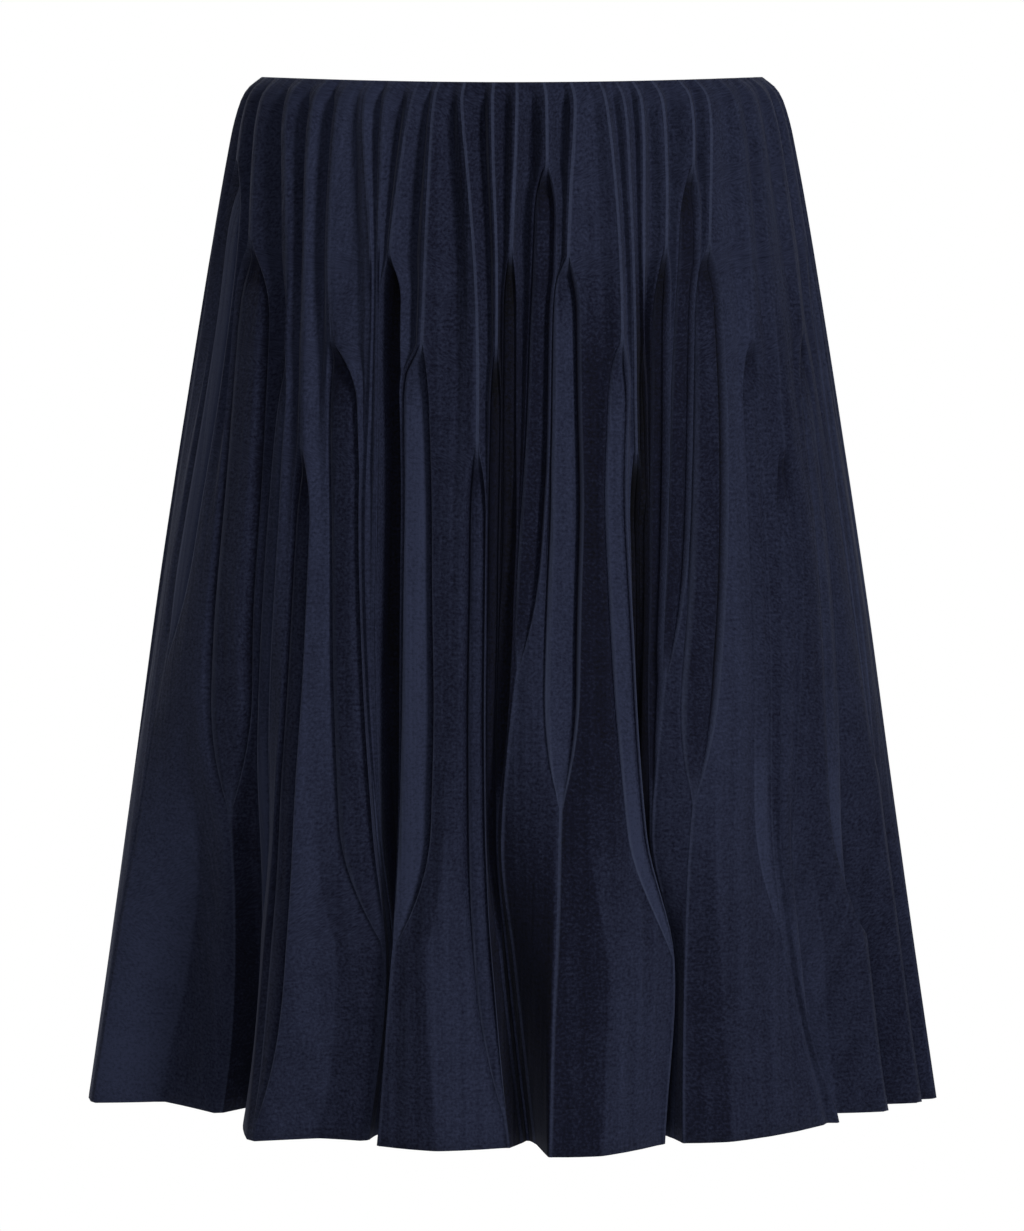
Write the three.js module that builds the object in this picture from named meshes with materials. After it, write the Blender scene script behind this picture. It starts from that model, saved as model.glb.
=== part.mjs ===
// Pleated skirt in navy wool, worn with no wearer: a hollow, flared wall of cloth.
// Pressed folds run from the waist edge to the hem. Each fold parts into two edges round a
// pointed opening and closes again lower down, and the openings step down in four levels.
// Millimetres, +Z up, front towards -Y. The origin is the middle of the waist edge.
import * as THREE from "three";

// Driving sizes
const LENGTH = 608; // waist edge to hem
const WALL = 2; // cloth on a flat panel, measured straight in from its outer face
const WALL_ACROSS = 1.1; // least cloth across a steep side of a fold
const SEAM_GAP = 0.3; // between the front and the back at each side seam
const WAIST_DIP = 2; // how far the waist edge sinks at centre front and centre back
const FOLD_EDGE = 1.4; // half width of a closed fold's rounded edge
const FOLD_EDGE_SHARE = 0.16; // most of the room beside a fold that its closed edge takes
const FOLD_RISE = 0.8; // how far a closed fold's edge stands proud
const OPEN_SHARE = 0.42; // share of the room beside a fold that its opening takes
const OPEN_WIDEST = 9.5; // most that an opening reaches to one side of its fold
const OPEN_DEPTH = 6; // how far the cloth inside an opening lies back
const OPEN_STEEPEST = 1.2; // most depth for each millimetre of an opening's half width
const OPEN_HEAD = 0.16; // share of an opening's height that its pointed head takes
const OPEN_FOOT = 0.22; // share that its pointed foot takes
const VALLEY_STEEPEST = 0.75; // most depth for each millimetre of the panel between folds

// Outer form at each drop below the waist edge: an ellipse, and the valley between two folds
const FORM = [
  { drop: 0, halfWidth: 147, halfDepth: 104, valley: 1.5 },
  { drop: 6, halfWidth: 154.5, halfDepth: 111, valley: 4 },
  { drop: 15, halfWidth: 159.5, halfDepth: 116, valley: 8 },
  { drop: 35, halfWidth: 165, halfDepth: 120, valley: 11 },
  { drop: 110, halfWidth: 179, halfDepth: 127, valley: 9 },
  { drop: 250, halfWidth: 202, halfDepth: 134, valley: 3 },
  { drop: 425, halfWidth: 227.5, halfDepth: 142, valley: 1 },
  { drop: 608, halfWidth: 254, halfDepth: 150, valley: -3 },
];

// Openings: where each level parts and closes, and how far its folds are set back there
const LEVELS = {
  1: { parts: 47, closes: 332, setBack: 14 },
  2: { parts: 96, closes: 408, setBack: 8 },
  3: { parts: 147, closes: 493, setBack: 3 },
  4: { parts: 207, closes: 594, setBack: 0 },
};
const SET_BACK_FROM = 45; // drop where the set back begins
const SET_BACK_FULL = 220; // drop where it is whole
const FLUTE_FROM = 230; // drop where the deep hem flutes begin

// The front's folds, left to right. waist to hem: degrees round from centre front where a fold
// crosses each of FOLD_DROPS. deep: how far it lies back in a flute at the hem.
const FOLD_DROPS = [8, 110, 250, 425, 500, 608];
const FOLDS = [
  { level: 2, waist: -85, hip: -82, mid: -83, low: -84, knee: -85, hem: -86, deep: 1 },
  { level: 1, waist: -75, hip: -66.5, mid: -72, low: -76, knee: -78, hem: -80, deep: 5 },
  { level: 2, waist: -65.5, hip: -58, mid: -55.5, low: -54, knee: -53, hem: -52, deep: 52 },
  { level: 3, waist: -53, hip: -47, mid: -44, low: -42.5, knee: -41.5, hem: -39.5, deep: 20 },
  { level: 4, waist: -45.5, hip: -42, mid: -37.5, low: -36, knee: -36, hem: -36, deep: 12 },
  { level: 3, waist: -38.5, hip: -35.5, mid: -29, low: -22.5, knee: -20, hem: -21, deep: 34 },
  { level: 2, waist: -32, hip: -28.5, mid: -24.5, low: -20, knee: -19.1, hem: -20, deep: 48 },
  { level: 1, waist: -26, hip: -25, mid: -22, low: -19, knee: -18.3, hem: -19, deep: 56 },
  { level: 2, waist: -21, hip: -22, mid: -19.5, low: -18, knee: -17.5, hem: -18, deep: 46 },
  { level: 3, waist: -16, hip: -16.5, mid: -15, low: -14.2, knee: -16.6, hem: -17, deep: 22 },
  { level: 4, waist: -10.5, hip: -6.5, mid: -5.7, low: -4.8, knee: -3.8, hem: 0, deep: 25 },
  { level: 3, waist: -4, hip: -2.8, mid: -3, low: -3.7, knee: -2.7, hem: 1, deep: 36 },
  { level: 2, waist: 1, hip: -0.3, mid: -0.3, low: -2.7, knee: -1.7, hem: 2, deep: 41 },
  { level: 1, waist: 7, hip: 6, mid: 3.2, low: -1.6, knee: -0.6, hem: 3, deep: 34 },
  { level: 2, waist: 13, hip: 10, mid: 9.2, low: 6.8, knee: 6, hem: 5, deep: 3 },
  { level: 3, waist: 19.5, hip: 20, mid: 17.8, low: 17.4, knee: 21.4, hem: 22.4, deep: 24 },
  { level: 4, waist: 23.5, hip: 22.5, mid: 20.8, low: 18.8, knee: 22, hem: 23.1, deep: 35 },
  { level: 3, waist: 27.5, hip: 24.6, mid: 22.6, low: 19.6, knee: 22.6, hem: 23.8, deep: 41 },
  { level: 2, waist: 32.5, hip: 29, mid: 25, low: 20.4, knee: 23.2, hem: 24.5, deep: 39 },
  { level: 1, waist: 40, hip: 34.5, mid: 28.5, low: 21.2, knee: 23.8, hem: 25.2, deep: 33 },
  { level: 2, waist: 45, hip: 39, mid: 35, low: 28.5, knee: 27.4, hem: 26, deep: 18 },
  { level: 3, waist: 53.5, hip: 49.5, mid: 45.5, low: 42.3, knee: 43.8, hem: 44, deep: 16 },
  { level: 4, waist: 61, hip: 56, mid: 52.5, low: 48, knee: 49, hem: 52, deep: 20 },
  { level: 3, waist: 70, hip: 67.5, mid: 64.5, low: 62, knee: 64, hem: 65, deep: 12 },
  { level: 2, waist: 78, hip: 77, mid: 75, low: 77, knee: 78, hem: 79, deep: 6 },
  { level: 1, waist: 85, hip: 84.5, mid: 84, low: 85, knee: 85, hem: 86, deep: 1 },
];
const SEAM_DEEP = 1; // how far each side seam lies back at the hem

// Drops of the section rings, closer together where the form or an opening turns
const RING_DROPS = [
  0, 5, 14, 30, 52, 80, 106, 138, 170, 210, 250, 295, 330, 375, 410, 455, 495, 550, LENGTH,
];

const NAVY = { color: 0x1b2036, roughness: 0.92, metalness: 0 };

// A smooth curve through known values, with the slope at each taken from its neighbours
function through(knots, values, x) {
  const last = knots.length - 1;
  const at = THREE.MathUtils.clamp(x, knots[0], knots[last]);
  let i = 0;
  while (i < last - 1 && at > knots[i + 1]) i += 1;
  const slope = (j) => {
    const a = Math.max(j - 1, 0);
    const b = Math.min(j + 1, last);
    return (values[b] - values[a]) / (knots[b] - knots[a]);
  };
  const span = knots[i + 1] - knots[i];
  const s = (at - knots[i]) / span;
  const rise = s * s * (3 - 2 * s);
  const leave = s * (1 - s) * (1 - s) * span;
  const arrive = s * s * (s - 1) * span;
  return values[i] * (1 - rise) + values[i + 1] * rise + slope(i) * leave + slope(i + 1) * arrive;
}

// One column of FORM at a drop
function form(column, drop) {
  return through(FORM.map((row) => row.drop), FORM.map((row) => row[column]), drop);
}

// The outer ellipse at a drop
function ellipseAt(drop) {
  return { a: form("halfWidth", drop), b: form("halfDepth", drop) };
}

// Millimetres of cloth for each radian round the ellipse
function arcRate(ellipse, angle) {
  return Math.hypot(ellipse.a * Math.cos(angle), ellipse.b * Math.sin(angle));
}

// Angle of a fold from centre front at a drop
function foldAngle(fold, drop) {
  const degrees = [fold.waist, fold.hip, fold.mid, fold.low, fold.knee, fold.hem];
  return THREE.MathUtils.degToRad(through(FOLD_DROPS, degrees, drop));
}

// How far a level's opening has parted, from 0 to 1, with a pointed head and foot
function parted(level, drop) {
  const { parts, closes } = LEVELS[level];
  const s = (drop - parts) / (closes - parts);
  const head = THREE.MathUtils.clamp(s / OPEN_HEAD, 0, 1);
  const foot = THREE.MathUtils.clamp((1 - s) / OPEN_FOOT, 0, 1);
  return (1 - (1 - head) ** 2) * (1 - (1 - foot) ** 2);
}

// How far a fold lies back from the outer ellipse at a drop
function lieBack(setBack, deep, drop) {
  const flute = THREE.MathUtils.smoothstep(drop, FLUTE_FROM, LENGTH);
  const whole = THREE.MathUtils.smoothstep(drop, SET_BACK_FROM, SET_BACK_FULL);
  return setBack * whole * (1 - flute) + deep * flute;
}

// Half width of a fold on one side, from the room beside it and how far it has parted
function halfOpen(room, open) {
  const closed = Math.min(FOLD_EDGE, FOLD_EDGE_SHARE * room);
  return THREE.MathUtils.lerp(closed, Math.min(OPEN_WIDEST, OPEN_SHARE * room), open);
}

// The left edge, opening and right edge of one fold between its two neighbours
function foldPoints(ellipse, fold, before, after) {
  const rate = arcRate(ellipse, fold.angle);
  const left = halfOpen(rate * (fold.angle - before.angle), fold.open);
  const right = halfOpen(rate * (after.angle - fold.angle), fold.open);
  const depth = Math.min(OPEN_DEPTH, (OPEN_STEEPEST * (left + right)) / 2);
  const floor = THREE.MathUtils.lerp(-FOLD_RISE, depth, fold.open);
  return [
    { angle: fold.angle - left / rate, back: fold.back },
    { angle: fold.angle + (right - left) / (2 * rate), back: fold.back + floor },
    { angle: fold.angle + right / rate, back: fold.back },
  ];
}

// The middle of the panel between two edges, laid back as a valley or bowed out where it is wide
function panelMiddle(ellipse, before, after, valley) {
  const angle = (before.angle + after.angle) / 2;
  const most = VALLEY_STEEPEST * arcRate(ellipse, angle) * (after.angle - before.angle);
  const bow = Math.sign(valley) * Math.min(Math.abs(valley), most);
  return { angle, back: (before.back + after.back) / 2 + bow };
}

// Section of one half at a drop, from seam to seam, as {angle, back} points: a seam, then each
// fold's left edge, opening and right edge with the middle of a panel between two folds
function halfSection(ellipse, drop) {
  const seamBack = lieBack(0, SEAM_DEEP, drop);
  const folds = FOLDS.map((fold) => ({
    angle: foldAngle(fold, drop),
    back: lieBack(LEVELS[fold.level].setBack, fold.deep, drop),
    open: parted(fold.level, drop),
  }));
  const leftSeam = { angle: -Math.PI / 2, back: seamBack };
  const rightSeam = { angle: Math.PI / 2, back: seamBack };
  const stations = [leftSeam, ...folds, rightSeam];
  const valley = form("valley", drop);
  const points = [leftSeam];
  folds.forEach((fold, i) => {
    const edges = foldPoints(ellipse, fold, stations[i], stations[i + 2]);
    if (i > 0) points.push(panelMiddle(ellipse, points[points.length - 1], edges[0], valley));
    points.push(...edges);
  });
  points.push(rightSeam);
  return points;
}

// Cloth measured straight in at one point of a section, more beside a steep side
function wallAt(ellipse, section, i) {
  const steep = (j) => {
    const other = section[j] ?? section[i];
    const run = arcRate(ellipse, section[i].angle) * Math.abs(other.angle - section[i].angle);
    return run > 0 ? Math.abs(other.back - section[i].back) / run : 0;
  };
  return Math.max(WALL, WALL_ACROSS * Math.hypot(1, Math.max(steep(i - 1), steep(i + 1))));
}

// A point at an angle, laid back along the ellipse's normal
function place(ellipse, angle, back, drop) {
  const sine = Math.sin(angle);
  const cosine = Math.cos(angle);
  const normal = new THREE.Vector2(ellipse.b * sine, -ellipse.a * cosine).normalize();
  const flat = new THREE.Vector2(ellipse.a * sine, -ellipse.b * cosine).addScaledVector(normal, -back);
  const dip = WAIST_DIP * cosine * cosine * (1 - drop / LENGTH);
  return new THREE.Vector3(flat.x, Math.min(flat.y, -SEAM_GAP / 2), -drop - dip);
}

// One ring of {outer, inner} points at a drop
function ringAt(drop) {
  const ellipse = ellipseAt(drop);
  const section = halfSection(ellipse, drop);
  return section.map((point, i) => ({
    outer: place(ellipse, point.angle, point.back, drop),
    inner: place(ellipse, point.angle, point.back + wallAt(ellipse, section, i), drop),
  }));
}

// A closed wall from rings of {outer, inner} points
function wallGeometry(rings) {
  const columns = rings[0].length;
  const right = columns - 1;
  const bottom = rings.length - 1;
  const positions = rings.flatMap((ring) => ring.flatMap((p) => [...p.outer, ...p.inner]));
  const outer = (row, column) => 2 * (row * columns + column);
  const inner = (row, column) => outer(row, column) + 1;
  const triangles = [];
  const quad = (a, b, c, d) => triangles.push(a, b, c, a, c, d);
  for (let r = 0; r < bottom; r += 1) {
    for (let c = 0; c < right; c += 1) {
      quad(outer(r, c), outer(r + 1, c), outer(r + 1, c + 1), outer(r, c + 1));
      quad(inner(r, c), inner(r, c + 1), inner(r + 1, c + 1), inner(r + 1, c));
    }
    quad(outer(r, 0), inner(r, 0), inner(r + 1, 0), outer(r + 1, 0));
    quad(outer(r, right), outer(r + 1, right), inner(r + 1, right), inner(r, right));
  }
  for (let c = 0; c < right; c += 1) {
    quad(outer(0, c), outer(0, c + 1), inner(0, c + 1), inner(0, c));
    quad(outer(bottom, c), inner(bottom, c), inner(bottom, c + 1), outer(bottom, c + 1));
  }
  const geometry = new THREE.BufferGeometry();
  geometry.setAttribute("position", new THREE.Float32BufferAttribute(positions, 3));
  geometry.setIndex(triangles);
  geometry.computeVertexNormals();
  return geometry;
}

// One half of the skirt as a named mesh, turned about the upright axis
function half(name, turn) {
  const geometry = wallGeometry(RING_DROPS.map(ringAt));
  const mesh = new THREE.Mesh(geometry, new THREE.MeshStandardMaterial(NAVY));
  mesh.name = name;
  mesh.rotation.z = turn;
  return mesh;
}

const skirt = new THREE.Group();
skirt.add(half("front", 0), half("back", Math.PI));

export default skirt;
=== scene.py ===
"""Dresses the pleated wool skirt: two cloth panels over its front and back solids, a camera, a pale
floor and soft studio light. Sizes of the cloth are in millimetres, as on the solids."""
import math

import bpy
import numpy as np
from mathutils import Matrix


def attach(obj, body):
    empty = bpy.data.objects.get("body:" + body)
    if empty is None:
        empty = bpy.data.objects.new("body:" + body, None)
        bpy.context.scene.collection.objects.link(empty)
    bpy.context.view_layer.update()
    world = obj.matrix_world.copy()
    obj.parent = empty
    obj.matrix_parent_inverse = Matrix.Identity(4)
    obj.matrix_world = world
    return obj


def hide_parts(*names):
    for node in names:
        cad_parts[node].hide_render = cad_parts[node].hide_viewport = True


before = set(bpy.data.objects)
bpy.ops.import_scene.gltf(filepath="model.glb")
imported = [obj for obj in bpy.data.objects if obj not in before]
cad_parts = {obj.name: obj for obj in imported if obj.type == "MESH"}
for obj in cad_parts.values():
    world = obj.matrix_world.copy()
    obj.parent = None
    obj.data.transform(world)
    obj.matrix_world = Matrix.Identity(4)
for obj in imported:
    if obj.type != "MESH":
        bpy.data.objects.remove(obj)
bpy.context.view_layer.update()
bpy.ops.object.select_all(action="DESELECT")

MM = 0.001

# Sizes of the skirt. valley is how deep the troughs between the folds are.
LENGTH = 608
WAIST_DIP = 1.4
WAIST_LIFT = 1.6
FORM_COLUMNS = ("drop", "half_width", "half_depth", "valley")
FORM = (
    (0, 147, 104, 1.2),
    (6, 154.5, 111, 3.5),
    (15, 159.5, 116, 8),
    (35, 165, 120, 10),
    (110, 179, 127, 8),
    (250, 202, 134, 1),
    (425, 228, 142, 0.4),
    (608, 256, 150, 0),
)
form_table = dict(zip(FORM_COLUMNS, np.array(FORM, float).T))

# Where the openings of each level part and close, how far their cloth is sunk, how it is crowned, and
# the share of their length in which they widen. The last level is one deep gap.
LEVELS = {
    1: (47, 332, 1.5, 0.5, 0.1),
    2: (96, 408, 1, 0.5, 0.1),
    3: (147, 493, 1, 1, 0.1),
    4: (207, 594, 2, 1.5, 0.1),
    5: (98, 490, 22, 0, 0.06),
}

# Openings of one level part and close a little apart, by waves over the numbers of their folds
PART_SCATTER = 2.5
PART_BEAT = 2.4
CLOSE_SCATTER = 5
CLOSE_BEAT = 1.7
CLOSE_PHASE = 1

# The folds of one half, left to right. waist to hem are degrees from the middle at FOLD_DROPS. wide is
# the width of the opening, and head and foot the shares of it on the left of the fold at each end. late
# is how far it closes below its level, sink how far its cloth lies back from the front panel beside it
# to the rear one, tilt how far it falls to the right, cut how deep the grooves at its edges are. deep is
# how far the fold lies back at the hem and lap how much further on its right than on its left, keen
# how sharply it is creased, the next column how much painted light (above 0) or painted shade (below 0)
# the cloth in its opening is given, and glow how much painted highlight it gains towards its foot.
FOLD_DROPS = (8, 110, 250, 425, 500, 608)
FOLD_COLUMNS = (
    "level", "waist", "hip", "mid", "low", "knee", "hem",
    "wide", "head", "foot", "late", "sink", "tilt", "cut", "deep", "lap", "keen", "painted_light_shade", "glow",
)
FOLDS = (
    (2, -85, -82, -83, -85, -86.5, -88, 6, 0.5, 0.5, 0, 0.5, 0, 0.3, 1, 0, 0.2, 0.3, 0),
    (1, -75, -66.5, -68, -74, -79, -84, 20, 0.5, 0.5, 0, 0.8, 0, 1, 3, 0, 0.2, 1.4, 0),
    (2, -65.5, -57, -51.6, -51, -52, -55, 26, 0.5, 0.5, 18, 0.2, 0, 1, 58, 0, 0.5, -0.3, 0),
    (3, -54, -46, -43.4, -45.5, -48, -52, 11, 0.5, 0.1, 0, 0.7, 1, 1, 78, 0, 0.6, 0.4, 1.4),
    (4, -45.5, -41, -36.6, -36, -36.6, -37.5, 14, 0.5, 0.05, 0, 1, 0, 1, 12, 0, 0.7, -0.3, 0),
    (3, -38.5, -35.5, -28.5, -22.2, -18.8, -20.6, 20, 0.1, 0.95, 0, 0.3, -1, 0.8, 34, 0, 0.5, -0.4, 0),
    (2, -32, -26.4, -24.6, -20.9, -18.6, -20.2, 1.4, 0.5, 0.5, 0, 1, 0, 0, 46, 0, 0.5, 0.2, 0),
    (2, -27, -24.8, -22.7, -20.5, -18.4, -19.8, 1.4, 0.5, 0.5, 0, 1, 0, 0, 52, 0, 0.4, 0.3, 0),
    (5, -21, -23.1, -20.3, -19, -18, -19.3, 14.5, 0.3, 0.5, 0, 1, 0, 0, 46, 0, 0.6, -1.8, 0),
    (3, -16, -16, -14.9, -15.6, -17.4, -18.6, 20, 0.8, 0.2, 0, 0.8, 4, 1.2, 22, 0, 0.8, 1, 0),
    (4, -10.5, -6.5, -5.7, -4.6, -3.4, -0.3, 10, 0.35, 0.95, 0, 0.6, 0, 0.8, 25, 0, 1, 0, 0),
    (3, -4, -2.8, -3, -3, -1.5, 1.5, 6.5, 0.5, 0.5, 0, 0.6, 0, 0.6, 36, 0, 1, -1.6, 0),
    (2, 1, -0.3, -0.3, -2.3, -0.6, 2.3, 8, 0.5, 0.5, 0, 0.8, 0, 0.6, 41, 0, 1, -1.8, 0),
    (1, 7, 6, 3.2, -1.4, 0.4, 3.2, 13, 0.5, 0.5, 0, 0.6, 0, 0.8, 34, 0, 1, -1, 0),
    (2, 13, 10, 9.2, 6.8, 6, 5, 18, 0.56, 0.56, 0, 0.8, 4, 1.1, 3, 0, 1, 0.3, 0),
    (3, 19.5, 20, 17.6, 20, 24, 21.4, 12.5, 0.5, 0.9, 0, 0.5, 1, 0.6, 24, 0, 0.9, 0.6, 0.6),
    (4, 23.5, 22.5, 20.8, 20.6, 24.3, 22.1, 10, 0.4, 0.4, 0, 1, 0, 0.6, 35, 0, 0.8, -2.2, 0),
    (3, 27.5, 24.6, 22.6, 20.9, 24.5, 22.6, 6, 0.5, 0.5, 0, 1, 0, 0.6, 43, 0, 1, -2.2, 0),
    (2, 32.5, 29, 25, 21.2, 24.7, 23, 8, 0.5, 0.5, 0, 0.8, 0, 0.6, 41, 0, 1, -1.4, 0),
    (1, 40, 34.2, 28, 21.6, 24.9, 23.4, 13, 0.5, 0.5, 0, 0.6, 0, 0.8, 36, 0, 1, -1, 0),
    (2, 45, 38.5, 34.2, 27.2, 25.8, 24.3, 20, 0.52, 0.52, 0, 0.8, -1, 1.2, 23, 0, 0.9, -0.7, 0),
    (3, 53.5, 49.5, 45.5, 42.6, 45, 51, 12, 0.6, 0.8, 0, 0.5, 1, 0.15, 28, 0, 0.2, -0.2, 1),
    (4, 61, 56, 52.5, 48.5, 50.5, 55.4, 13, 0.6, 0.9, 0, 0.5, 1, 0.15, 38, 22, 0.1, -0.2, 1),
    (3, 70, 67.5, 64.5, 63.5, 68, 72.5, 16, 0.6, 0.9, 0, 0.5, 2, 0.15, 36, 29, 0.07, -0.1, 1),
    (2, 78, 77, 75, 77, 80.5, 84, 6, 0.5, 0.5, 0, 0.5, 0, 0.3, 15, 14, 0.04, 0, 0),
    (1, 85, 84.5, 84, 85, 86.5, 88, 6, 0.5, 0.5, 0, 0.5, 0, 0.3, 1, 0, 0.04, 0, 0),
)
fold_table = dict(zip(FOLD_COLUMNS, np.array(FOLDS, float).T))
FOLD_TURNS = np.radians([fold_table[name] for name in FOLD_COLUMNS[1:7]])
FOLD_COUNT = len(FOLDS)
fold_index = np.arange(FOLD_COUNT)
level_table = np.array([LEVELS[int(level)] for level in fold_table["level"]], float).T
fold_parts = level_table[0] + PART_SCATTER * np.sin(PART_BEAT * fold_index)
fold_closes = level_table[1] + CLOSE_SCATTER * np.sin(CLOSE_BEAT * fold_index + CLOSE_PHASE)
fold_closes = fold_closes + fold_table["late"]
fold_recess, fold_crown, fold_heads = level_table[2:]

# The panel on the left of each fold, and the one on the right of the last. back is how far the panel
# lies behind the foremost ones and lean how far it falls to the right, both below the hip. Near the
# waist its trough is dip of the way across, and sag is its depth as a share of the form's valley.
# At the hem it is bent ridge of the way across, further up turn of the way, and laid back by bow
# there. The column after bow is how much painted light (above 0) or painted shade (below 0) its cloth
# is given below the hip, left and right the same on each side of the bend at the hem, and top the same
# near the waist.
PANEL_COLUMNS = ("back", "lean", "dip", "sag", "turn", "ridge", "bow", "painted_light_shade", "left", "right", "top")
PANELS = (
    (0, 0, 0.5, 0.6, 0.5, 0.5, 0, 0.2, 0.2, 0.2, 0),
    (1, 0, 0.6, 0.9, 0.5, 0.5, 0, 0.5, 0.5, 0.5, 0),
    (0, -1, 0.6, 1.0, 0.6, 0.13, 34, 0.2, 0.9, -0.1, 0),
    (6, 0, 0.7, 1.0, 0.5, 0.5, 10, -0.4, -1.1, -1.1, 0),
    (2, 1, 0.6, 0.9, 0.5, 0.5, 0, 0, -0.6, -0.6, 0),
    (0, 5, 0.5, 1.2, 0.5, 0.57, 8, 0.4, 0, -0.5, 0.3),
    (1, 3, 0.7, 0.4, 0.5, 0.5, 0, 0.2, 0, 0, 0.5),
    (1, 0, 0.65, 1.2, 0.5, 0.5, 0, 0.3, -1, -1, 0.5),
    (1, 0, 0.6, 0.8, 0.5, 0.5, 0, 0.3, -1.2, -1.2, 0.2),
    (4, 0, 0.72, 1.0, 0.5, 0.5, 0, 0.3, 0, 0, 0),
    (0, -2.5, 0.66, 0.8, 0.45, 0.48, -8, -0.4, -0.4, 0.3, -0.4),
    (5, 0, 0.8, 0.9, 0.5, 0.5, 0, -0.3, -1.7, -1.7, -0.6),
    (13, 0, 0.55, 1.1, 0.5, 0.5, 0, -1.8, -2.2, -2.2, -0.6),
    (9, 0, 0.55, 1.0, 0.5, 0.5, 0, -1.2, -2.2, -2.2, -0.5),
    (4, 0, 0.76, 1.2, 0.5, 0.5, 0, 0, -2, -2, -0.2),
    (0, -2.5, 0.7, 0.4, 0.43, 0.43, -8, -1.2, -0.9, 0.1, 0),
    (1.5, 3, 0.6, 0.8, 0.5, 0.5, 0, 0.5, -0.5, -0.5, 0),
    (15, 0, 0.7, 0.9, 0.5, 0.5, 0, -2.2, -1.5, -1.5, 0),
    (10, 0, 0.5, 0.6, 0.5, 0.5, 0, -1.8, -1.5, -1.5, 0),
    (3, 3, 0.42, 1.1, 0.5, 0.5, 0, 0.1, -0.8, -0.8, 0),
    (2, -1, 0.6, 1.2, 0.5, 0.5, 0, -0.2, -0.3, -0.3, 0),
    (0, 3, 0.75, 0.45, 0.3, 0.27, -6, 0.3, -0.8, -0.2, 0),
    (2.5, -1, 0.7, 0.4, 0.5, 0.5, 3, -0.3, 0.2, 0.1, 0),
    (1, 2, 0.7, 0.4, 0.4, 0.4, 4, -0.4, 0.2, -0.3, 0),
    (2.5, 0, 0.6, 0.4, 0.45, 0.45, 4, -0.3, -0.1, -0.6, 0),
    (0.5, 1, 0.6, 0.5, 0.5, 0.5, 2, -0.3, -0.3, -0.5, 0),
    (0, 0, 0.5, 0.6, 0.5, 0.5, 0, -0.2, -0.4, -0.4, 0),
)
panel_table = dict(zip(PANEL_COLUMNS, np.array(PANELS, float).T))

# Where things begin and end down the skirt, as drops. The cloth in an opening sinks and rises over the
# drops above and below its ends. FLUTE_CURVE is how late the flutes deepen, and STEEPEST the most that
# they fall back across a fold.
HIP_DROPS = (90, 200)
HEMWARD_DROPS = (430, 580)
# Drops over which a fold given painted shade loses its sharp crease and its painted highlight
SHADED_KEEN_DROPS = (200, 300)
TURN_DROPS = (150, 350)
RIDGE_FROM = 430
BOW_FROM = 0.55 * LENGTH
FLUTE_FROM = 230
FLUTE_CURVE = 1.5
STEEPEST = 2.5
SINK_ABOVE = 2
SINK_BELOW = 45
RISE_ABOVE = 90
RISE_BELOW = 4

# How wide a fold is when closed, the share of an opening's width at its head and what it gains by its
# foot, the most of its room that it takes, and the share of its length in which it closes
FOLD_EDGE = 1.4
OPEN_TOP = 0.85
OPEN_GROWTH = 0.25
OPEN_SHARE = 0.86
OPEN_FOOT = 0.22

# How a fold is made across: the pocket at its head, the grooves and steps at its edges, and its lip.
# Widths are the widest, and are held to shares of the fold's own width or of the room beside it.
SNUG_WIDTH = 8
SNUG_LEAST = 0.15
HEAD_DEPTH = 5
HEAD_SHARE = 0.08
GROOVE = 5
GROOVE_WIDTH = 4
INNER_SHARE = 0.35
OUTER_SHARE = 0.09
CUT_LOSS = 0.8
LEFT_CUT_FADES = (0.5, 0.85)
RIGHT_CUT_FADES = (0.75, 1)
STEP_RUN = 0.6
STEP_SHARE = 0.25
LIP = 0.9
LIP_SHARE = 0.04
EDGE_RISE = 0.25
FLOOR_SHARES = np.array([0.2, 0.4, 0.6, 0.8, 1])

# Painted highlights along the creases of closed folds and the edges of open ones, and the painted light
# and shade on the cloth: painted shade in the grooves and at the heads of the openings, painted
# highlight towards their feet, and the drops where the panels' painted light and shade changes
CREASE_HIGHLIGHT = 0.6
CREASE_LOSS = 0.5
CREASE_FADES = (400, 540)
OPEN_EDGE_HIGHLIGHT = 0.3
GROOVE_PAINTED_SHADE = -1.7
HEAD_PAINTED_SHADE = 1.2
GLOW_SHARES = (0.6, 0.8)
WAIST_LIGHT_SHADE_ENDS = (80, 170)
HEM_LIGHT_SHADE_STARTS = (350, 530)

# How a panel is made across
BEND = 0.02
LEFT_OF_BEND = np.array([0.3, 0.55, 0.8])
RIGHT_OF_BEND = np.array([0.15, 0.4, 0.7])
TROUGH_SHARE = 0.7
TENT_SWELL = 0.35
LEAF_CROWN = 0.05
CROWN_MOST = 2.5

# How the folds wander along their length, less where they have less than WANDER_ROOM
WAVER = 0.5
WAVER_FROM = (5, 60)
SLOW_RUN = 46
SLOW_SHIFT = 2.1
QUICK_RUN = 19
QUICK_SHIFT = 3.7
QUICK_SHARE = 0.4
WANDER_ROOM = 16

# The cloth and how finely it is divided. INSIDE_REACH is in columns, and HANG_RADIUS and LEAST_DEPTH
# are in metres.
CLOTH = 1.3
EDGE_ROLL = 0.35
SEAM_TUCK = 0.8
SEAM_TURN = math.pi / 2
HANG_RADIUS = 0.2
LEAST_DEPTH = 1e-6
INSIDE_REACH = 14
TOP_DROPS = (0, 1, 2.5, 5, 8.5, 13, 18.5, 25)
HEAD_STEP = 5.5
HEADS_END = 256
FOOT_STEP = 9


def smooth(x, start, end):
    """A smooth step from 0 to 1 between start and end."""
    s = np.clip((x - start) / (end - start), 0, 1)
    return s * s * (3 - 2 * s)


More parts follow.
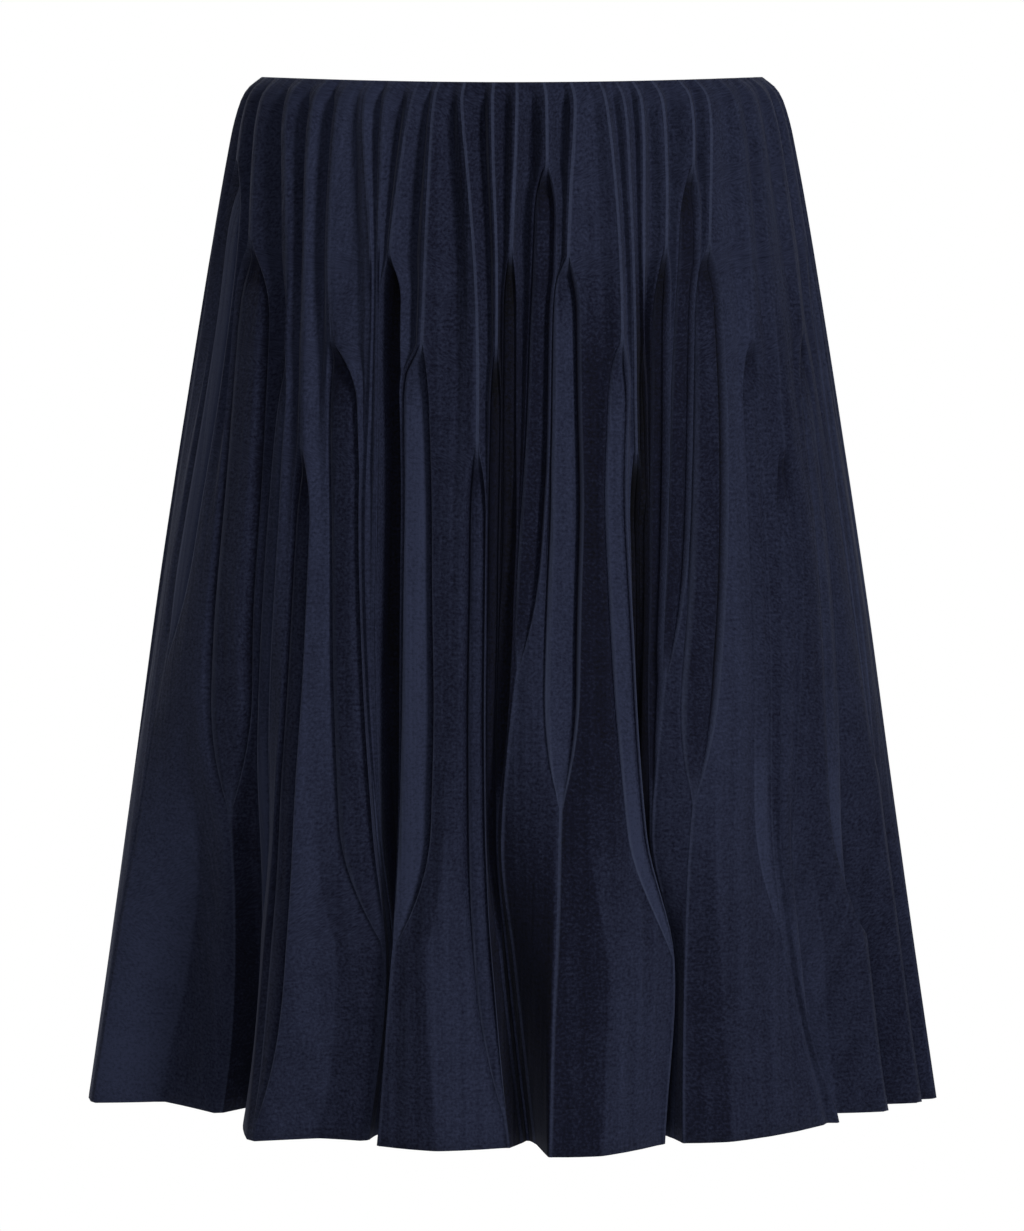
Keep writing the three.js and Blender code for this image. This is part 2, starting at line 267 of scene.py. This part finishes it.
def through(knots, values, x):
    """A smooth curve through known values, with the slope at each taken from its neighbours."""
    last = len(knots) - 1
    at = min(max(x, knots[0]), knots[last])
    i = max(j for j in range(last) if j == 0 or at > knots[j])

    def slope(j):
        a, b = max(j - 1, 0), min(j + 1, last)
        return (values[b] - values[a]) / (knots[b] - knots[a])

    span = knots[i + 1] - knots[i]
    s = (at - knots[i]) / span
    rise = s * s * (3 - 2 * s)
    leave = s * (1 - s) ** 2 * span
    arrive = s * s * (s - 1) * span
    return values[i] * (1 - rise) + values[i + 1] * rise + slope(i) * leave + slope(i + 1) * arrive


def form(column, drop):
    """One column of the form table at a drop."""
    return through(form_table["drop"], form_table[column], drop)


def parted(drop):
    """How far each fold has parted at a drop, and how far down its opening the drop is."""
    down = (drop - fold_parts) / (fold_closes - fold_parts)
    head = np.clip(down / fold_heads, 0, 1)
    foot = np.clip((1 - down) / OPEN_FOOT, 0, 1)
    return (1 - (1 - head) ** 2) * (1 - (1 - foot) ** 2), np.clip(down, 0, 1)


def sunken(drop):
    """How far the cloth inside each opening has sunk at a drop, from 0 to 1."""
    sinking = smooth(drop, fold_parts - SINK_ABOVE, fold_parts + SINK_BELOW)
    rising = smooth(drop, fold_closes - RISE_ABOVE, fold_closes + RISE_BELOW)
    return sinking * (1 - rising)


def below_hip(drop):
    """1 in the middle of the skirt, fading to 0 at the waist and the hem."""
    return smooth(drop, *HIP_DROPS) * (1 - smooth(drop, *HEMWARD_DROPS))


def panels_behind():
    """Each panel that lies behind another, with that neighbour and the fold between them."""
    back = panel_table["back"]
    found = []
    for k in np.argsort(back, kind="stable"):
        if back[k] > 0:
            front = k - 1 if back[k - 1] <= back[k + 1] else k + 1
            found.append((k, front, min(k, front)))
    return found


PANELS_BEHIND = panels_behind()


def panel_sides(drop):
    """How far the left and right side of each panel lie back at a drop."""
    sunk = sunken(drop)
    back = np.zeros(FOLD_COUNT + 1)
    for k, front, fold in PANELS_BEHIND:
        back[k] = back[front] + (panel_table["back"][k] - panel_table["back"][front]) * sunk[fold]
    lean = panel_table["lean"] / 2 * below_hip(drop)
    return back - lean, back + lean


def panel_painted_light_shades(drop):
    """Painted light or painted shade of each panel at a drop, on the left and right of its bend."""
    at_hem = smooth(drop, *HEM_LIGHT_SHADE_STARTS)
    low = smooth(drop, *WAIST_LIGHT_SHADE_ENDS)
    higher = panel_table["painted_light_shade"] * low * (1 - at_hem) + panel_table["top"] * (1 - low)
    return higher + panel_table["left"] * at_hem, higher + panel_table["right"] * at_hem


def half_widths(room, opened, down):
    """Width of each fold on its left and right, from the room between folds and its opening."""
    widest = fold_table["wide"] * (OPEN_TOP + OPEN_GROWTH * down)
    width = FOLD_EDGE + (widest - FOLD_EDGE) * opened
    left_share = fold_table["head"] + (fold_table["foot"] - fold_table["head"]) * down
    left, right = width * left_share, width * (1 - left_share)
    wanted = np.concatenate([[0], right]) + np.concatenate([left, [0]])
    fit = np.minimum(1, OPEN_SHARE * room / wanted)
    return left * fit[:-1], right * fit[1:]


def flute_slope(flute, room):
    """How steeply the flutes fall back across each fold, from the folds on either side of it."""
    beside = np.concatenate([[0], flute, [0]])
    slope = (beside[2:] - beside[:-2]) / (room[1:] + room[:-1])
    return np.clip(slope, -STEEPEST, STEEPEST)


class FoldRing:
    """All the folds of a half where one ring crosses them. Its columns run across each fold: the panel
    on its left, a groove, the left edge, the floor, a groove, the right edge and a lip."""

    def __init__(self, drop, room):
        opened, self.down = parted(drop)
        self.drop = drop
        self.room = room
        self.left, self.right = half_widths(room, opened, self.down)
        self.width = self.left + self.right
        self.sunk = 1 - (1 - opened) ** 3
        self.snug = np.clip(self.width / SNUG_WIDTH, SNUG_LEAST, 1)
        # How far a fold keeps its sharp crease and painted highlights: less where its cloth is given
        # painted shade
        self.highlit = np.clip(1 + fold_table["painted_light_shade"] / 2, 0, 1)
        self.keen = fold_table["keen"] * (1 + (self.highlit - 1) * smooth(drop, *SHADED_KEEN_DROPS))
        self.head = np.exp(-((self.down / HEAD_SHARE) ** 2))
        self.left_cut = fold_table["cut"] * (1 - CUT_LOSS * smooth(self.down, *LEFT_CUT_FADES))
        self.right_cut = fold_table["cut"] * (1 - CUT_LOSS * smooth(self.down, *RIGHT_CUT_FADES))
        self.inner_dip = np.minimum(GROOVE_WIDTH, INNER_SHARE * self.width)
        self.across = FLOOR_SHARES[:, None] * (1 - self.inner_dip / self.width)

    def offsets(self):
        """How far each column lies to the right of its fold."""
        outer_dip = np.minimum(GROOVE_WIDTH, OUTER_SHARE * self.room[:-1])
        run = np.minimum(STEP_RUN, STEP_SHARE * np.minimum(self.inner_dip, outer_dip))
        lip = np.minimum(LIP, LIP_SHARE * self.room[1:])
        floor = self.across * self.width - self.left
        return np.vstack([
            -self.left - outer_dip, -self.left - run, -self.left, floor,
            self.right - run, self.right, self.right + lip,
        ])

    def steps(self):
        """How far back each flute lies, and the panels on the left and right of each fold."""
        flared = smooth(self.drop, FLUTE_FROM, LENGTH) ** FLUTE_CURVE
        flute = fold_table["deep"] * flared
        lap = fold_table["lap"] / 2 * flared
        left_sides, right_sides = panel_sides(self.drop)
        return flute, flute + right_sides[:-1] - lap, flute + left_sides[1:] + lap

    def floors(self, step_left, step_right):
        """How far back the cloth inside each opening lies, and its left edge."""
        front = np.minimum(step_left, step_right)
        rear = np.maximum(step_left, step_right)
        depth = fold_recess + HEAD_DEPTH * self.head
        level = front + (rear - front) * fold_table["sink"] + depth * self.snug
        tilt = fold_table["tilt"] * self.snug
        crown = fold_crown * self.snug * 4 * self.across * (1 - self.across)
        return level + tilt * (self.across - 0.5) - crown, level - tilt / 2

    def backs(self, offsets):
        """How far back each column lies."""
        flute, step_left, step_right = self.steps()
        floor, left_edge = self.floors(step_left, step_right)
        left_groove = np.maximum(step_left, left_edge) + GROOVE * self.left_cut
        right_groove = np.maximum(step_right, floor[-1]) + GROOVE * self.right_cut
        rise = EDGE_RISE * np.minimum(self.snug, self.keen)
        ridge = (step_left + step_right) / 2 - EDGE_RISE * self.keen
        opened = np.vstack([
            step_left, left_groove, left_edge - rise, floor, right_groove, step_right - rise, step_right,
        ])
        closed = np.vstack([
            step_left, step_left, ridge, 0 * floor + ridge, ridge, ridge, step_right,
        ])
        return closed * (1 - self.sunk) + opened * self.sunk + flute_slope(flute, self.room) * offsets

    def highlights(self):
        """How much painted highlight each column has, along the crease of a closed fold and the edges of
        an open one, more towards its foot.
        """
        kept = 1 - CREASE_LOSS * smooth(self.drop, *CREASE_FADES)
        crease = CREASE_HIGHLIGHT * (1 - self.sunk) * self.keen * kept
        lit = self.sunk * (OPEN_EDGE_HIGHLIGHT + self.down) * np.minimum(1, 2 * fold_table["cut"]) * self.highlit
        edge = crease + lit
        none = 0 * crease
        return np.vstack([none, none, edge, 0 * self.across + crease, crease, edge, none])

    def painted_light_shades(self):
        """How much painted light or painted shade each column has: painted shade in the grooves and at
        the head of an opening, painted highlight towards its foot, and the panels' own beside it.
        """
        # Painted highlight towards the foot of an opening, painted shade at its head
        glow = fold_table["glow"] * smooth(self.down, *GLOW_SHARES)
        floor = (fold_table["painted_light_shade"] + glow - HEAD_PAINTED_SHADE * self.head) * self.sunk
        # Painted shade in the grooves at the edges of an opening
        left = np.minimum(floor, GROOVE_PAINTED_SHADE * self.left_cut * self.sunk)
        right = np.minimum(floor, GROOVE_PAINTED_SHADE * self.right_cut * self.sunk)
        starts, ends = panel_painted_light_shades(self.drop)
        return np.vstack([
            ends[:-1], left, floor, 0 * self.across + floor, right, starts[1:], starts[1:],
        ])


def fold_columns(drop, rate, angle, room):
    """Angles, backs, painted highlights and painted light and shade across each fold, with rate the
    millimetres in a radian.
    """
    folds = FoldRing(drop, room)
    offsets = folds.offsets()
    return np.array([angle + offsets / rate, folds.backs(offsets), folds.highlights(), folds.painted_light_shades()])


def tent(share, peak, keen):
    """A tent across a panel, 0 at its sides and 1 at its peak, with its sides sharp where keen is 1."""
    side = np.minimum(share / peak, (1 - share) / (1 - peak))
    sharp = side * (1 + TENT_SWELL - TENT_SWELL * side)
    return keen * sharp + (1 - keen) * side * side * (3 - 2 * side)


def panel_bend(drop, k):
    """How far across a panel is bent at a drop, from its dip to its turn and on to its ridge."""
    dip, turn, ridge = (panel_table[name][k] for name in ("dip", "turn", "ridge"))
    turned = (turn - dip) * smooth(drop, *TURN_DROPS)
    return dip + turned + (ridge - turn) * smooth(drop, RIDGE_FROM, LENGTH)


def panel_columns(drop, rate, start, end, k):
    """Angles, backs, painted highlights (none here) and painted light and shade across panel k, from its
    sides as (angle, back).
    """
    bend = panel_bend(drop, k)
    share = np.concatenate([
        bend * LEFT_OF_BEND, [bend - BEND, bend + BEND], bend + (1 - bend) * RIGHT_OF_BEND,
    ])
    width = rate * (end[0] - start[0])
    folds_beside = [max(k - 1, 0), min(k, FOLD_COUNT - 1)]
    keen = np.interp(share, [0, 1], fold_table["keen"][folds_beside])
    trough = min(form("valley", drop) * panel_table["sag"][k], TROUGH_SHARE * width)
    swell = panel_table["bow"][k] * smooth(drop, BOW_FROM, LENGTH)
    crown = min(CROWN_MOST, LEAF_CROWN * width) * below_hip(drop) * 4 * share * (1 - share)
    backs = start[1] + (end[1] - start[1]) * share - crown
    backs = backs + trough * tent(share, panel_table["dip"][k], keen)
    backs = backs + swell * tent(share, bend, 1)
    # Painted light or painted shade on each side of the bend
    left_light_shade, right_light_shade = np.array(panel_painted_light_shades(drop))[:, k]
    painted_light_shade = np.where(share < bend, left_light_shade, right_light_shade)
    return np.stack([start[0] + (end[0] - start[0]) * share, backs, 0 * share, painted_light_shade])


def waver(drop, phase):
    """A slow, small wander of each fold along its length, in millimetres."""
    slow = np.sin(drop / SLOW_RUN + SLOW_SHIFT * fold_index + phase)
    quick = np.sin(drop / QUICK_RUN + QUICK_SHIFT * fold_index + 2 * phase)
    return WAVER * (slow + QUICK_SHARE * quick) * smooth(drop, *WAVER_FROM)


def rooms(angle, rates):
    """Widths of the panels from seam to seam between the folds at some angles."""
    stations = np.concatenate([[-SEAM_TURN], angle, [SEAM_TURN]])
    return (rates[1:] + rates[:-1]) / 2 * np.diff(stations)


def seam_column(angle, back):
    """The column of a ring at a side seam, tucked in a little, with no painted highlight, light or shade.
    """
    return np.array([[angle], [back + SEAM_TUCK], [0], [0]])


def section(drop, phase):
    """One ring of a half: angles, backs, painted highlights and painted light and shade from seam to
    seam.
    """
    a, b = form("half_width", drop), form("half_depth", drop)
    angle = through(FOLD_DROPS, FOLD_TURNS, drop)
    rate = np.hypot(a * np.cos(angle), b * np.sin(angle))
    rates = np.concatenate([[b], rate, [b]])
    room = rooms(angle, rates)
    nearest = np.minimum(room[:-1], room[1:])
    angle = angle + np.minimum(1, nearest / WANDER_ROOM) * waver(drop, phase) / rate
    folds = fold_columns(drop, rate, angle, rooms(angle, rates))
    seam_back = smooth(drop, FLUTE_FROM, LENGTH)
    starts = [(-SEAM_TURN, seam_back)] + [folds[:2, -1, k] for k in range(FOLD_COUNT)]
    ends = [folds[:2, 0, k] for k in range(FOLD_COUNT)] + [(SEAM_TURN, seam_back)]
    columns = [seam_column(-SEAM_TURN, seam_back)]
    for k in range(FOLD_COUNT + 1):
        columns.append(panel_columns(drop, (rates[k] + rates[k + 1]) / 2, starts[k], ends[k], k))
        if k < FOLD_COUNT:
            columns.append(folds[:, :, k])
    columns.append(seam_column(SEAM_TURN, seam_back))
    return np.concatenate(columns, axis=1)


def inner_backs(drop, angles, backs):
    """The inside of one ring: a cloth's thickness from the outside, across as well as back."""
    a, b = form("half_width", drop), form("half_depth", drop)
    rate = np.hypot(a * np.cos(angles), b * np.sin(angles))
    inner = backs + CLOTH
    for shift in range(1, INSIDE_REACH + 1):
        apart = (angles[shift:] - angles[:-shift]) * rate[shift:]
        swell = np.sqrt(np.maximum(CLOTH ** 2 - apart ** 2, 0))
        near = apart < CLOTH
        inner[shift:] = np.where(near, np.maximum(inner[shift:], backs[:-shift] + swell), inner[shift:])
        inner[:-shift] = np.where(near, np.maximum(inner[:-shift], backs[shift:] + swell), inner[:-shift])
    return inner


def place(drop, angles, backs, lift):
    """Points of one ring in metres, laid back along the ellipse's normal."""
    a, b = form("half_width", drop), form("half_depth", drop)
    sine, cosine = np.sin(angles), np.cos(angles)
    normal = np.stack([b * sine, -a * cosine]) / np.hypot(b * sine, a * cosine)
    x = a * sine - backs * normal[0]
    y = -b * cosine - backs * normal[1]
    curve = WAIST_LIFT * sine ** 2 - WAIST_DIP * cosine ** 2
    z = -drop + curve * (1 - drop / LENGTH) + lift
    return np.stack([x, np.minimum(y, 0), z], axis=-1) * MM


def ring_drops():
    """Drops of the rings, close together where the waist turns in and where the openings part."""
    heads = np.arange(TOP_DROPS[-1] + HEAD_STEP, HEADS_END, HEAD_STEP)
    feet = np.arange(HEADS_END, LENGTH - 1, FOOT_STEP)
    return np.concatenate([TOP_DROPS, heads, feet, [LENGTH]])


def cloth_rows(phase):
    """Rows of points down the outside, round the hem and up the inside, with painted highlights, painted
    light and shade, and drops.
    """
    drops = ring_drops()
    outer = [section(d, phase) for d in drops]
    rows, highlights, painted_light_shades, runs = [], [], [], []

    def add(i, inward, lift=0.0):
        """Adds ring i, inward of the way from the outside to the inside."""
        angles, backs, highlight, painted_light_shade = outer[i]
        backs = backs + (inner_backs(drops[i], angles, backs) - backs) * inward
        rows.append(place(drops[i], angles, backs, lift))
        # The painted highlights and painted light and shade fade out towards the inside
        highlights.append(highlight * (1 - inward))
        painted_light_shades.append(painted_light_shade * (1 - inward))
        runs.append(drops[i])

    for i in range(len(drops)):
        add(i, 0)
    add(len(drops) - 1, 0.5, -EDGE_ROLL)
    for i in reversed(range(len(drops))):
        add(i, 1)
    add(0, 0.5, EDGE_ROLL)
    return np.array(rows), np.array(highlights), np.array(painted_light_shades), np.array(runs)


def cloth_faces(row_count, column_count):
    """Quads from row to row, all round the edges, and a face along each side seam."""
    corner = np.arange(row_count * column_count).reshape(row_count, column_count)
    below = np.roll(corner, -1, axis=0)
    quads = np.stack([corner[:, :-1], below[:, :-1], below[:, 1:], corner[:, 1:]], axis=-1)
    faces = [tuple(quad) for quad in quads.reshape(-1, 4).tolist()]
    faces.append(tuple(corner[:, 0].tolist()))
    faces.append(tuple(corner[::-1, -1].tolist()))
    return faces


def cloth_maps(points, runs):
    """Places of the points in metres, on the cloth spread out flat and on the skirt as it hangs."""
    steps = np.linalg.norm(np.diff(points, axis=1), axis=-1)
    across = np.pad(np.cumsum(steps, axis=1), ((0, 0), (1, 0)))
    across = across - across[:, across.shape[1] // 2][:, None]
    down = np.broadcast_to(-runs[:, None] * MM, across.shape)
    turns = np.arctan2(points[..., 0], np.abs(points[..., 1]) + LEAST_DEPTH)
    return {
        "cloth": np.stack([across, down], axis=-1).reshape(-1, 2),
        "hang": np.stack([turns * HANG_RADIUS, points[..., 2]], axis=-1).reshape(-1, 2),
    }


def cloth_panel(name, turn, phase):
    """One half of the skirt as a thin closed shell, turned half round for the back."""
    points, highlights, painted_light_shades, runs = cloth_rows(phase)
    if turn:
        points = points * np.array([-1, -1, 1])
    mesh = bpy.data.meshes.new(name)
    mesh.from_pydata(points.reshape(-1, 3).tolist(), [], cloth_faces(*highlights.shape))
    mesh.polygons.foreach_set("use_smooth", np.ones(len(mesh.polygons), bool))
    # The painted highlights and the painted light and shade are stored on the points for the wool
    for attribute, values in (("painted_edge_highlight", highlights), ("painted_light_shade", painted_light_shades)):
        layer = mesh.attributes.new(attribute, "FLOAT", "POINT")
        layer.data.foreach_set("value", values.ravel().astype(np.float32))
    loops = np.empty(len(mesh.loops), int)
    mesh.loops.foreach_get("vertex_index", loops)
    for uv_name, values in cloth_maps(points, runs).items():
        layer = mesh.uv_layers.new(name=uv_name)
        layer.data.foreach_set("uv", values[loops].astype(np.float32).ravel())
    piece = bpy.data.objects.new(name, mesh)
    bpy.context.collection.objects.link(piece)
    return piece


class Wire:
    """A shader value: arithmetic on it adds Math nodes to its material."""

    def __init__(self, paint, socket):
        self.paint = paint
        self.socket = socket

    def _math(self, operation, first, second):
        return self.paint.node("ShaderNodeMath", {"operation": operation}, {0: first, 1: second})

    def __add__(self, other):
        return self._math("ADD", self, other)

    def __sub__(self, other):
        return self._math("SUBTRACT", self, other)

    def __mul__(self, other):
        return self._math("MULTIPLY", self, other)

    def __rsub__(self, other):
        return self._math("SUBTRACT", other, self)


class Paint:
    """A material that is built node by node."""

    def __init__(self, name):
        self.material = bpy.data.materials.new(name)
        self.material.use_nodes = True
        self.tree = self.material.node_tree
        self.shader = self.tree.nodes["Principled BSDF"]

    def node(self, kind, settings=None, inputs=None, output=0):
        """Adds a node: its settings first, then the values or links of its sockets."""
        made = self.tree.nodes.new(kind)
        for key, value in (settings or {}).items():
            setattr(made, key, value)
        for key, value in (inputs or {}).items():
            self.put(made.inputs[key], value)
        return Wire(self, made.outputs[output])

    def ramp(self, share, stops):
        """Adds a colour ramp through (position, colour) stops."""
        shade = self.node("ShaderNodeValToRGB", None, {"Fac": share})
        made = shade.socket.node.color_ramp.elements
        while len(made) < len(stops):
            made.new(1)
        for stop, (position, tone) in zip(made, stops):
            stop.position = position
            stop.color = tone
        return shade

    def put(self, socket, value):
        """Links a wire to a socket, or sets the socket's own value."""
        if isinstance(value, Wire):
            self.tree.links.new(value.socket, socket)
        else:
            socket.default_value = value

    def finish(self, **inputs):
        """Sets the main shader's sockets, named with underscores."""
        for key, value in inputs.items():
            self.put(self.shader.inputs[key.replace("_", " ")], value)
        return self.material


def colour(red, green, blue):
    """A colour from 0 to 255 sRGB values."""
    def linear(c):
        c /= 255
        return c / 12.92 if c <= 0.04045 else ((c + 0.055) / 1.055) ** 2.4
    return (linear(red), linear(green), linear(blue), 1)


# The wool from its darkest to its palest, with the place of each shade; the darkest is painted shade,
# reached only where the most painted shade is given, in the deepest grooves and gaps. Then the colour
# of the painted highlights along its creases and edges
WOOL_STOPS = (
    (0, colour(4, 4, 9)),
    (0.3, colour(15, 18, 37)),
    (0.76, colour(48, 54, 78)),
)
WOOL_HIGHLIGHT = colour(76, 84, 110)
WOOL_SHEEN = colour(150, 158, 190)
# How far the painted highlights go towards their colour
EDGE_HIGHLIGHT_MIX = 0.5

# Grain of the wool as how fine it is, how detailed, and how many times as fine across as down
FLECK = (560, 3, 1)
STREAK = (600, 2, 0.3)
CLOUD = (60, 3, 1)
FIBRE = (1500, 2, 0.6)
DRAPE = (5, 2, 22)
GRAIN_ROUGHNESS = 0.6

# What makes the wool lighter, each by how much, and how much darker it is without
FLECK_LIGHT = 0.8
STREAK_LIGHT = 0.3
CLOUD_LIGHT = 0.2
DRAPE_LIGHT = 0.25
# How far the painted light and shade moves the wool along its shades
PAINTED_LIGHT_SHADE_WEIGHT = 0.2
WOOL_SHADE = 0.27

# What stands up on the wool, each by how much, and the heights of the fibres and the drape in metres
FIBRE_RELIEF = 0.5
FLECK_RELIEF = 0.8
STREAK_RELIEF = 0.5
FIBRE_HEIGHT = 0.0006
DRAPE_HEIGHT = 0.003
RELIEF_STRENGTH = 0.5
WOOL_ROUGHNESS = 0.93
FLECK_SMOOTHS = 0.08


def felted_wool():
    """Navy wool, felted and slightly heathered, with painted highlights along its creases and edges and
    painted light and shade over the cloth.
    """
    paint = Paint("felted_wool")
    cloth = paint.node("ShaderNodeUVMap", {"uv_map": "cloth"})
    fall = paint.node("ShaderNodeUVMap", {"uv_map": "hang"})

    def noise(grain, way):
        fine, detail, across = grain
        stretched = paint.node(
            "ShaderNodeMapping", None, {"Vector": way, "Scale": (fine * across, fine, fine)},
        )
        return paint.node(
            "ShaderNodeTexNoise", {"noise_dimensions": "3D"},
            {"Vector": stretched, "Scale": 1.0, "Detail": detail, "Roughness": GRAIN_ROUGHNESS},
        )

    def bump(height, distance, **normal):
        relief = {"Strength": RELIEF_STRENGTH, "Distance": distance, "Height": height}
        return paint.node("ShaderNodeBump", None, {**relief, **normal})

    fleck, streak, cloud, fibre = (noise(grain, cloth) for grain in (FLECK, STREAK, CLOUD, FIBRE))
    drape = noise(DRAPE, fall)
    # The painted highlights and the painted light and shade, as stored on the cloth's points
    edge = paint.node("ShaderNodeAttribute", {"attribute_name": "painted_edge_highlight"}, output=2)
    painted_light_shade = paint.node("ShaderNodeAttribute", {"attribute_name": "painted_light_shade"}, output=2)
    light = fleck * FLECK_LIGHT + streak * STREAK_LIGHT + cloud * CLOUD_LIGHT + drape * DRAPE_LIGHT
    # The painted light and shade moves the wool along its shades, down to the painted shade of the
    # darkest stop
    shade = paint.ramp(light + painted_light_shade * PAINTED_LIGHT_SHADE_WEIGHT - WOOL_SHADE, WOOL_STOPS)
    # Painted highlights mix the wool towards their colour
    highlit = paint.node(
        "ShaderNodeMix", {"data_type": "RGBA"},
        {0: edge * EDGE_HIGHLIGHT_MIX, 6: shade, 7: WOOL_HIGHLIGHT}, output=2,
    )
    relief = fibre * FIBRE_RELIEF + fleck * FLECK_RELIEF + streak * STREAK_RELIEF
    surface = bump(relief, FIBRE_HEIGHT, Normal=bump(drape, DRAPE_HEIGHT))
    return paint.finish(
        Base_Color=highlit, Roughness=WOOL_ROUGHNESS - fleck * FLECK_SMOOTHS, Normal=surface,
        Sheen_Weight=0.15, Sheen_Roughness=0.45, Sheen_Tint=WOOL_SHEEN, Specular_IOR_Level=0.15,
    )


# The halves as node, whether it is turned half round, and the phase of its folds' wander
HALVES = (
    ("front", False, 0.0),
    ("back", True, 1.9),
)


def dress():
    """Lays the two cloth panels over their solids."""
    wool = felted_wool()
    for node, turn, phase in HALVES:
        panel = cloth_panel(node + "_cloth", turn, phase)
        panel.data.materials.append(wool)
        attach(panel, "root")
        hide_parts(node)


# The camera is at the waist's height, tilted down to the middle of the skirt
CAMERA_AWAY = 2.5
CAMERA_TILT = 7.2
CAMERA_LENS = 123.9
CAMERA_SENSOR = 36

# The floor
FLOOR_BELOW_HEM = 0.5
FLOOR_RADIUS = 1.4
FLOOR_SIDES = 96
FLOOR_SHADE = (0.8, 0.8, 0.8, 1)
FLOOR_ROUGHNESS = 0.9
FLOOR_GRAIN = 0.05

# The lamps as name, place, size and power, the point they face, and how bright the studio is in front
# of the skirt and behind it, with how far backwards one looks where it changes, from -1 to 1
LAMPS = (
    ("key", (2.0, -2.4, 1.3), 0.8, 62),
    ("front", (-0.4, -3.2, 1.0), 1.2, 24),
    ("rim", (-2.45, 0.9, 0.5), 0.8, 10),
)
LAMPS_FACE = (0, 0, -0.3)
STUDIO_FRONT = 0.06
STUDIO_BEHIND = 1.0
STUDIO_CHANGE = (0.5, 0.9)


def camera():
    """Looks at the front of the skirt."""
    data = bpy.data.cameras.new("camera")
    data.lens = CAMERA_LENS
    data.sensor_width = CAMERA_SENSOR
    eye = bpy.data.objects.new("camera", data)
    eye.location = (0, -CAMERA_AWAY, 0)
    eye.rotation_euler = (math.radians(90 - CAMERA_TILT), 0, 0)
    bpy.context.collection.objects.link(eye)
    bpy.context.scene.camera = eye


def floor():
    """A pale round floor well below the hem."""
    bpy.ops.object.select_all(action="DESELECT")
    bpy.ops.mesh.primitive_circle_add(
        vertices=FLOOR_SIDES, radius=FLOOR_RADIUS, fill_type="NGON",
        location=(0, 0, -LENGTH * MM - FLOOR_BELOW_HEM),
    )
    ground = bpy.context.object
    ground.name = "floor"
    paint = Paint("floor")
    grain = paint.node("ShaderNodeTexNoise", None, {"Scale": 3.0, "Detail": 2.0})
    rough = grain * FLOOR_GRAIN + FLOOR_ROUGHNESS
    ground.data.materials.append(paint.finish(Base_Color=FLOOR_SHADE, Roughness=rough))


def softbox(name, place_at, size, power):
    """A soft square light that faces the skirt."""
    data = bpy.data.lights.new(name, "AREA")
    data.shape = "SQUARE"
    data.size = size
    data.energy = power
    lamp = bpy.data.objects.new(name, data)
    lamp.location = place_at
    x, y, z = np.array(LAMPS_FACE) - np.array(place_at)
    lamp.rotation_euler = (math.atan2(math.hypot(x, y), -z), 0, math.atan2(-x, y))
    bpy.context.collection.objects.link(lamp)


def studio():
    """A pale studio with a brighter backdrop behind the skirt."""
    world = bpy.data.worlds.new("studio")
    world.use_nodes = True
    nodes = world.node_tree.nodes
    way = nodes.new("ShaderNodeTexCoord")
    split = nodes.new("ShaderNodeSeparateXYZ")
    spread = nodes.new("ShaderNodeMapRange")
    spread.inputs["From Min"].default_value = STUDIO_CHANGE[0]
    spread.inputs["From Max"].default_value = STUDIO_CHANGE[1]
    spread.inputs["To Min"].default_value = STUDIO_FRONT
    spread.inputs["To Max"].default_value = STUDIO_BEHIND
    sky = nodes["Background"]
    sky.inputs["Color"].default_value = (1, 1, 1, 1)
    world.node_tree.links.new(way.outputs["Generated"], split.inputs["Vector"])
    world.node_tree.links.new(split.outputs["Y"], spread.inputs["Value"])
    world.node_tree.links.new(spread.outputs["Result"], sky.inputs["Strength"])
    bpy.context.scene.world = world


def lights():
    """Lights the skirt from the right, the front and behind on the left."""
    for lamp in LAMPS:
        softbox(*lamp)
    studio()
    bpy.context.scene.view_settings.view_transform = "Standard"


camera()
dress()
floor()
lights()
